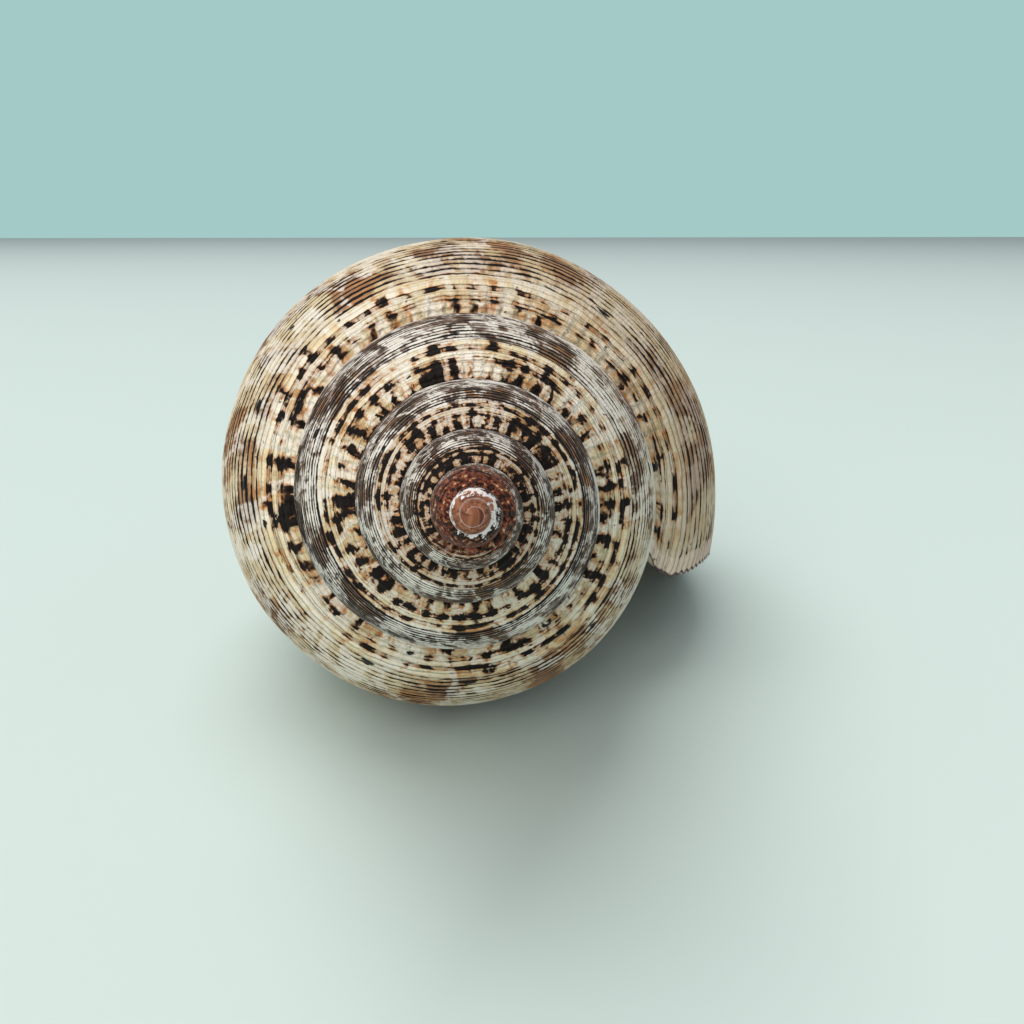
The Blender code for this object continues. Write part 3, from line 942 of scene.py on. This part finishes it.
# %% Outside finish: the red turns at the apex
RED_BROWN = linear("#5C2817")
COPPER = linear("#8A4C33")
RAGGED = 0.35
RED_FROM = -3.55
RED_TO = -3.85
chip_place = add(tree, "VectorMath", {"operation": "MULTIPLY"}, {0: growth, 1: repeats(9.9, 13)})
chip = add(tree, "TexNoise", {}, {"Vector": chip_place, "Scale": 1.0, "Detail": 4.0, "Roughness": 0.7})
chip_turn = add(tree, "Math", {"operation": "ADD"}, {0: turn, 1: place})
worn_turn = add(tree, "MapRange", {}, {0: chip, 1: 0.25, 2: 0.75, 3: -RAGGED, 4: RAGGED})
worn_turn = add(tree, "Math", {"operation": "ADD"}, {0: chip_turn, 1: worn_turn})
red_share = add(tree, "MapRange", {"interpolation_type": "SMOOTHSTEP"},
                {0: worn_turn, 1: RED_FROM, 2: RED_TO, 3: 0.0, 4: 0.96})
grain_place = add(tree, "VectorMath", {"operation": "MULTIPLY"}, {0: growth, 1: repeats(4.4, 4.7)})
grain = add(tree, "TexNoise", {}, {"Vector": grain_place, "Scale": 1.0, "Detail": 4.0, "Roughness": 0.6})
mottled = add(tree, "ValToRGB", {}, {0: grain})
stops = mottled.node.color_ramp.elements
stops[0].position, stops[0].color = 0.43, LINE_BROWN
stops[1].position, stops[1].color = 0.68, CREAM
stops.new(0.50).color = RED_BROWN
stops.new(0.60).color = COPPER
worn = add(tree, "Mix", {"data_type": "RGBA"}, {0: red_share, 6: lined, 7: mottled}, out=2)
print("the red turns begin", -RED_FROM, "turns back")

# %% [markdown]
# Further up, a dark edge, the white ring and the nucleus lie over each other like coats of paint.
# A fine pale line beside the seam shows how the nucleus is coiled.

# %% Outside finish: the chipped ring and the bare nucleus
NUCLEUS = linear("#A06A4C")
NUCLEUS_BROWN = linear("#5E3122")
CHIP_WHITE = linear("#E6DEDC")
DARK_FROM = -4.50
DARK_TO = -4.66
RING_FROM = -4.72
RING_TO = -4.80
BARE_FROM = -5.0
BARE_TO = -5.08
dark_edge = add(tree, "MapRange", {"interpolation_type": "SMOOTHSTEP"},
                {0: worn_turn, 1: DARK_FROM, 2: DARK_TO})
worn = add(tree, "Mix", {"data_type": "RGBA"}, {0: dark_edge, 6: worn, 7: LINE_BROWN}, out=2)
ring = add(tree, "MapRange", {"interpolation_type": "SMOOTHSTEP"},
           {0: worn_turn, 1: RING_FROM, 2: RING_TO})
worn = add(tree, "Mix", {"data_type": "RGBA"}, {0: ring, 6: worn, 7: CHIP_WHITE}, out=2)
bare = add(tree, "MapRange", {"interpolation_type": "SMOOTHSTEP"},
           {0: worn_turn, 1: BARE_FROM, 2: BARE_TO})
swirl = add(tree, "MapRange", {"interpolation_type": "SMOOTHSTEP"}, {0: chip, 1: 0.35, 2: 0.62})
bare_colour = add(tree, "Mix", {"data_type": "RGBA"}, {0: swirl, 6: NUCLEUS, 7: NUCLEUS_BROWN}, out=2)
near_seam = add(tree, "MapRange", {"interpolation_type": "SMOOTHSTEP"},
                {0: place, 1: 0.06, 2: 0.0, 3: 0.0, 4: 0.30})
bare_colour = add(tree, "Mix", {"data_type": "RGBA"},
                  {0: near_seam, 6: bare_colour, 7: CHIP_WHITE}, out=2)
worn = add(tree, "Mix", {"data_type": "RGBA"}, {0: bare, 6: worn, 7: bare_colour}, out=2)
print("the bare nucleus begins", -BARE_FROM, "turns back")

# %% [markdown]
# The newest shell at the lip is a paler pinkish band with a crisp edge, ended by a thin dark rim.
# The band reads the loose count of turns, whose middle lies half its looseness further on, so its
# edge is ragged too. It is a thin coat, so the cords still show through it.

# %% Outside finish: the band at the lip
LIP_PINK = linear("#E3CDBB")
RIM_PURPLE = linear("#54353A")
BAND_START = -4.2 / 360 + LOOSENESS / 2
BAND_COVER = 0.72
RIM_START = -0.75 / 360
RIM_SOFTNESS = 0.0012
band = add(tree, "Math", {"operation": "GREATER_THAN"}, {0: loose_turn, 1: BAND_START})
band = add(tree, "Math", {"operation": "MULTIPLY"}, {0: band, 1: BAND_COVER})
banded = add(tree, "Mix", {"data_type": "RGBA"}, {0: band, 6: worn, 7: LIP_PINK}, out=2)
rim = add(tree, "MapRange", {"interpolation_type": "SMOOTHSTEP"},
          {0: turn, 1: RIM_START, 2: RIM_START + RIM_SOFTNESS})
edged = add(tree, "Mix", {"data_type": "RGBA"}, {0: rim, 6: banded, 7: RIM_PURPLE}, out=2)
print("dark rim at the lip:", round(-RIM_START * TURN_MM, 2), "mm wide")

# %% [markdown]
# Small pits, left by worms and knocks, are scattered over the whole outside. A Voronoi texture
# gives cells. Each cell gets a speck at its middle, and where its random number is high, the
# speck is a pit. Noise pushes the place about first, so that no pit is a neat disc. Each pit is
# painted nearly black, which is painted shade inside the small hollow.

# %% Outside finish: pits
PIT_SHADE_BLACK = linear("#0E0B0B")
PIT_RARITY = 0.86
PIT_PUSH = (0.6, 0.6, 0)
pit_place = add(tree, "VectorMath", {"operation": "MULTIPLY"}, {0: growth, 1: repeats(4.9, 3.7)})
rough_edge = jitter.node.outputs["Color"]
pit_place = add(tree, "VectorMath", {"operation": "MULTIPLY_ADD"},
                {0: rough_edge, 1: PIT_PUSH, 2: pit_place})
pit_cell = add(tree, "TexVoronoi", {"voronoi_dimensions": "2D"}, {"Vector": pit_place, "Scale": 1.0})
pit_rare = add(tree, "SeparateColor", {}, {0: pit_cell.node.outputs["Color"]})
pit_size = add(tree, "MapRange", {}, {0: pit_rare, 1: PIT_RARITY, 2: 1.0, 3: 0.02, 4: 0.20})
pit = add(tree, "Math", {"operation": "SUBTRACT"}, {0: pit_size, 1: pit_cell})
pit = add(tree, "MapRange", {"interpolation_type": "SMOOTHSTEP"}, {0: pit, 1: -0.02, 2: 0.02})
# Painted shade: each pit is coloured nearly black for the shade inside it.
pit_shaded = add(tree, "Mix", {"data_type": "RGBA"}, {0: pit, 6: edged, 7: PIT_SHADE_BLACK}, out=2)
print("cells with a pit:", round((1 - PIT_RARITY) * 100), "%")

# %% [markdown]
# The relief that is too fine for the mesh is a bump in millimetres: grooves beside each cord,
# beads on the cords under the seam, wrinkles across the growth, and the pits. All but the pits
# shrink with the size of the turn that they stand on.

# %% Outside finish: fine relief
BEADS_PER_TURN = round(TURN_MM / 2)
BEAD_MM = 0.14
WRINKLE_MM = 0.30
FIBRE_MM = 0.16
GROOVE_MM = 0.30
LINE_MM = -0.10
RIDGE_MM = 0.26
PIT_MM = -0.25
MM = 0.001
bead_beat = add(tree, "Math", {"operation": "MULTIPLY"}, {0: loose_turn, 1: BEADS_PER_TURN * TAU})
bead = add(tree, "Math", {"operation": "SINE"}, {0: bead_beat})
on_beads = add(tree, "MapRange", {"interpolation_type": "SMOOTHSTEP"}, {0: seam_row, 1: 0.12, 2: 0.04})
bead = add(tree, "Math", {"operation": "MULTIPLY"}, {0: bead, 1: on_beads})
wrinkle_place = add(tree, "VectorMath", {"operation": "MULTIPLY"}, {0: growth, 1: repeats(0.8, 3.7)})
wrinkle = add(tree, "TexNoise", {}, {"Vector": wrinkle_place, "Scale": 1.0, "Detail": 3.0, "Roughness": 0.6})
ridge = add(tree, "MapRange", {"interpolation_type": "SMOOTHSTEP"}, {0: limit, 1: 0.30, 2: 0.80})
height = add(tree, "Math", {"operation": "MULTIPLY"}, {0: bead, 1: BEAD_MM})
for part, millimetres in (
    (wrinkle, WRINKLE_MM),
    (fibre, FIBRE_MM),
    (groove_depth, GROOVE_MM),
    (fine_line, LINE_MM),
    (ridge, RIDGE_MM),
):
    height = add(tree, "Math", {"operation": "MULTIPLY_ADD"}, {0: part, 1: millimetres, 2: height})
height = add(tree, "Math", {"operation": "MULTIPLY"}, {0: height, 1: size})
height = add(tree, "Math", {"operation": "MULTIPLY_ADD"}, {0: pit, 1: PIT_MM, 2: height})
bump = add(tree, "Bump", {}, {"Height": height, "Distance": MM, "Strength": 1.0})
print("beads are", round(TURN_MM / BEADS_PER_TURN, 1), "mm apart")

# %% [markdown]
# Worn aragonite is satin: its light comes back soft and weak, and the dark lines and spots are
# duller than the ground, because sand stays in them. So the specular level is low.

# %% Outside finish: the shader
ARAGONITE_IOR = 1.53
WORN_SPECULAR = 0.16
DULLER_WHEN_DARK = 0.35
rough = add(tree, "MapRange", {}, {0: fibre, 1: 0.3, 2: 0.7, 3: 0.40, 4: 0.56})
dark = add(tree, "Math", {"operation": "MAXIMUM"}, {0: spot, 1: fine_line})
rough = add(tree, "Math", {"operation": "MULTIPLY_ADD"}, {0: dark, 1: DULLER_WHEN_DARK, 2: rough})
shader = add(tree, "BsdfPrincipled", {}, {
    "Base Color": pit_shaded,
    "Roughness": rough,
    "Normal": bump,
    "IOR": ARAGONITE_IOR,
    "Specular IOR Level": WORN_SPECULAR,
})
add(tree, "OutputMaterial", {}, {0: shader})
print("outside:", len(tree.nodes), "nodes")

# %% [markdown]
# The mantle polishes the inside while the animal lives, and sand hardly reaches it. So it stays
# a plain glossy cream, without a pattern.

# %% Inside finish
GLAZE_CREAM = linear("#E9DCCB")
GLAZE_ROUGHNESS = 0.25
tree = paint(inside)
glaze = add(tree, "BsdfPrincipled", {}, {"Base Color": GLAZE_CREAM, "Roughness": GLAZE_ROUGHNESS})
add(tree, "OutputMaterial", {}, {0: glaze})
print("inside:", len(tree.nodes), "nodes")

# %% [markdown]
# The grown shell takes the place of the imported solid, and rides on its only body.

# %% Joining the frame
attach(shell, "root")
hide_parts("shell")
print("the grown shell replaces the packed one")

# %% [markdown]
# The shell lies on a board painted a pale blue-green. The paint is matt, so it only throws soft
# light back up at the shell. It is one large square, which reaches out to the horizon.

# %% The pale table
FLOOR_SIZE = 6.0
BOARD_PAINT = linear("#C4D4D0")
BOARD_ROUGHNESS = 0.8
table = bmesh.new()
bmesh.ops.create_grid(table, x_segments=1, y_segments=1, size=FLOOR_SIZE / 2)
floor_mesh = bpy.data.meshes.new("table")
table.to_mesh(floor_mesh)
table.free()
floor = bpy.data.objects.new("table", floor_mesh)
bpy.context.scene.collection.objects.link(floor)
painted = bpy.data.materials.new("painted board")
tree = paint(painted)
board = add(tree, "BsdfPrincipled", {}, {"Base Color": BOARD_PAINT, "Roughness": BOARD_ROUGHNESS})
add(tree, "OutputMaterial", {}, {0: board})
floor_mesh.materials.append(painted)
print("table", FLOOR_SIZE, "m square")

# %% [markdown]
# Daylight comes from above and from the left, and a second large lamp stands in for what comes
# back from the front. Both are large and far away, so the shadows are soft. The Standard view
# shows the colours as they were written.

# %% Light
bpy.context.scene.view_settings.view_transform = "Standard"


def soft_lamp(name, power, size, place, target, colour):
    data = bpy.data.lights.new(name, "AREA")
    data.energy, data.size, data.color = power, size, linear(colour)[:3]
    lamp = bpy.data.objects.new(name, data)
    lamp.location = place
    lamp.rotation_euler = (Vector(target) - Vector(place)).to_track_quat("-Z", "Y").to_euler()
    bpy.context.scene.collection.objects.link(lamp)
    print(name, power, "W over", size, "m")


soft_lamp("window", 52, 2.3, (-0.60, 0.20, 2.5), (0, 0, 0.02), "#FFFCF8")
soft_lamp("fill", 48, 2.0, (-0.75, -2.1, 1.4), (0, 0, 0.03), "#FFF8EE")

# %% [markdown]
# The light from all around is a soft neutral grey. What the camera sees past the table is a
# plain pale blue-green, which is kept out of the light on the shell by the kind of ray.

# %% Light from all around
AROUND_GREY = linear("#989EA4")
AROUND_SEEN = linear("#A4CAC7")
world = bpy.data.worlds.new("light from all around")
bpy.context.scene.world = world
world.use_nodes = True
tree = world.node_tree
tree.nodes.clear()
seen = add(tree, "LightPath", {}, {})
around = add(tree, "Mix", {"data_type": "RGBA"}, {0: seen, 6: AROUND_GREY, 7: AROUND_SEEN}, out=2)
sky = add(tree, "Background", {}, {"Color": around, "Strength": 1.0})
add(tree, "OutputWorld", {}, {0: sky})
print("light from all around:", len(tree.nodes), "nodes")

# %% [markdown]
# The picture was taken from close by, so the pointed end looms and the turns behind it seem to
# crowd together. The camera's distance from the apex and its focal length, in pixels, were found
# from the radii of the turns, and its place follows from the pixel on which the apex falls.

# %% Camera
IMAGE_CENTRE = 512
PIXEL_FOCUS = 1090
LENS = 38.32
SENSOR = 36
APEX_DEPTH = 0.05663
APEX_PIXEL = (474.83, 516.79)
CAMERA_DOWN = math.radians(15.07)
CAMERA_RIGHT = math.radians(3.822)
CLIP_START = 0.005
level = math.radians(90) - CAMERA_DOWN
turned = Matrix.Rotation(-CAMERA_RIGHT, 3, "Z") @ Matrix.Rotation(level, 3, "X")
apex_right = (APEX_PIXEL[0] - IMAGE_CENTRE) / PIXEL_FOCUS
apex_up = (IMAGE_CENTRE - APEX_PIXEL[1]) / PIXEL_FOCUS
sight = Vector((apex_right, apex_up, -1)) * APEX_DEPTH
camera_data = bpy.data.cameras.new("camera")
camera_data.lens, camera_data.sensor_width = LENS, SENSOR
camera_data.clip_start = CLIP_START
camera = bpy.data.objects.new("camera", camera_data)
camera.matrix_world = Matrix.Translation(APEX_AT - turned @ sight) @ turned.to_4x4()
bpy.context.scene.collection.objects.link(camera)
bpy.context.scene.camera = camera
print("camera", round(APEX_DEPTH * 1000), "mm in front of the apex")
